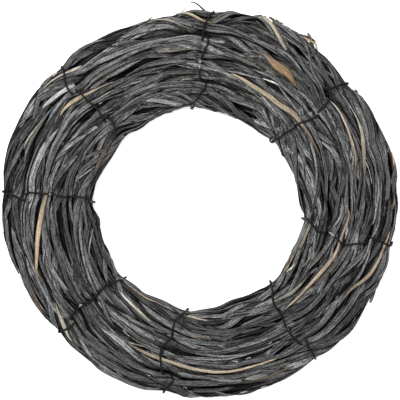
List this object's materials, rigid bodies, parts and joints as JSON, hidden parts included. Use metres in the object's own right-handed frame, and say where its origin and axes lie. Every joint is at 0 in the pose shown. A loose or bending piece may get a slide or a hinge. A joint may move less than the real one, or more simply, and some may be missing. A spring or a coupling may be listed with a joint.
{
  "type": "wicker wreath",
  "caption": "Flat ring of dark dried leaf strips in concentric courses, twined together by thin wire ties; a base for a door or table wreath.",
  "frame": {"origin": "on the surface that the wreath lies on, under the middle of its outer rim", "axes": "+Z along the ring's axis, out of its front face; +Y to the top of the wreath as hung, +X to its right"},
  "size_m": [0.3952, 0.3874, 0.0283],
  "materials": {
    "dark_leaf": "matt dried leaf, charcoal grey with paler fibres and dust",
    "peach_leaf": "matt dried leaf, peach with paler fibres",
    "tan_leaf": "matt dried leaf, tan",
    "pale_leaf": "matt dried leaf, pale grey",
    "brown_leaf": "matt dried leaf, orange brown",
    "olive_leaf": "matt dried leaf, olive brown",
    "tie_wire": "thin dark binding wire, worn bright in places"
  },
  "bodies": {
    "root": {"outer_bunch_1": "dark_leaf", "outer_bunch_2": "dark_leaf", "outer_bunch_3": "dark_leaf", "outer_bunch_4": "dark_leaf", "outer_bunch_5": "dark_leaf", "outer_bunch_6": "dark_leaf", "outer_bunch_7": "dark_leaf", "outer_bunch_8": "dark_leaf", "second_bunch_1": "dark_leaf", "second_bunch_2": "dark_leaf", "second_bunch_3": "dark_leaf", "second_bunch_4": "dark_leaf", "second_bunch_5": "dark_leaf", "second_bunch_6": "dark_leaf", "second_bunch_7": "dark_leaf", "second_bunch_8": "dark_leaf", "third_bunch_1": "dark_leaf", "third_bunch_2": "dark_leaf", "third_bunch_3": "dark_leaf", "third_bunch_4": "dark_leaf", "third_bunch_5": "dark_leaf", "third_bunch_6": "dark_leaf", "third_bunch_7": "dark_leaf", "third_bunch_8": "dark_leaf", "inner_bunch_1": "dark_leaf", "inner_bunch_2": "dark_leaf", "inner_bunch_3": "dark_leaf", "inner_bunch_4": "dark_leaf", "inner_bunch_5": "dark_leaf", "inner_bunch_6": "dark_leaf", "inner_bunch_7": "dark_leaf", "inner_bunch_8": "dark_leaf", "peach_strip_1": "peach_leaf", "peach_strip_2": "peach_leaf", "peach_strip_3": "peach_leaf", "peach_strip_4": "peach_leaf", "peach_strip_5": "peach_leaf", "peach_strip_6": "peach_leaf", "tan_strip_1": "tan_leaf", "tan_strip_2": "tan_leaf", "tan_strip_3": "tan_leaf", "tan_strip_4": "tan_leaf", "tan_strip_5": "tan_leaf", "tan_strip_6": "tan_leaf", "beige_stray": "tan_leaf", "pale_strip_1": "pale_leaf", "pale_strip_2": "pale_leaf", "pale_strip_3": "pale_leaf", "brown_leaf": "brown_leaf", "brown_strip": "brown_leaf", "olive_strip_1": "olive_leaf", "olive_strip_2": "olive_leaf", "wire_tie_1": "tie_wire", "wire_tie_2": "tie_wire", "wire_tie_3": "tie_wire", "wire_tie_4": "tie_wire", "wire_tie_5": "tie_wire", "wire_tie_6": "tie_wire", "wire_tie_7": "tie_wire", "wire_tie_8": "tie_wire"}
  },
  "joints": []
}
